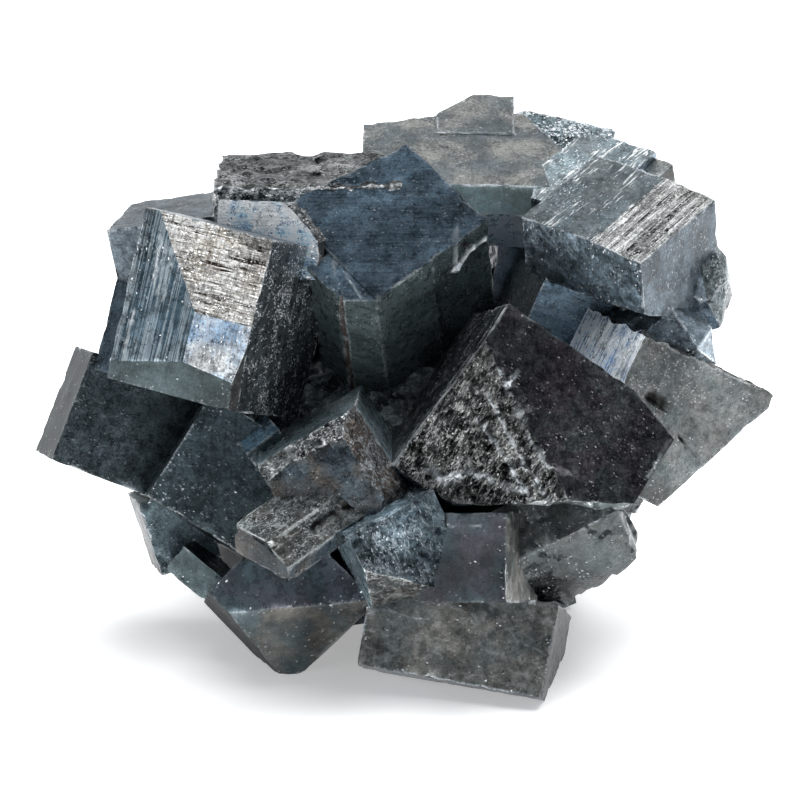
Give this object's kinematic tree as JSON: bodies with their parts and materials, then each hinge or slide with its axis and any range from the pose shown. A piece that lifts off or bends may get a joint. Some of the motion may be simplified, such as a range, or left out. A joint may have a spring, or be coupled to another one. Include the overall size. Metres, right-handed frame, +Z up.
{
  "type": "mineral specimen",
  "caption": "Cluster of grown-together metallic cubic crystals, with split growth faces, steps and a broken lower front, worn flat underneath so that it stands by itself.",
  "frame": {"origin": "middle of the specimen's bounding box, at the level of the flats it rests on", "axes": "+Z up, +X to the right of the show side, +Y away from the show side"},
  "size_m": [0.0602, 0.044, 0.0393],
  "materials": {
    "magnetite": "dark blue-grey metallic mineral, glossy on the crystal faces, with fine growth lines, and rough and glittering where it is broken"
  },
  "bodies": {
    "root": {"magnetite_cluster": "magnetite"}
  },
  "joints": []
}
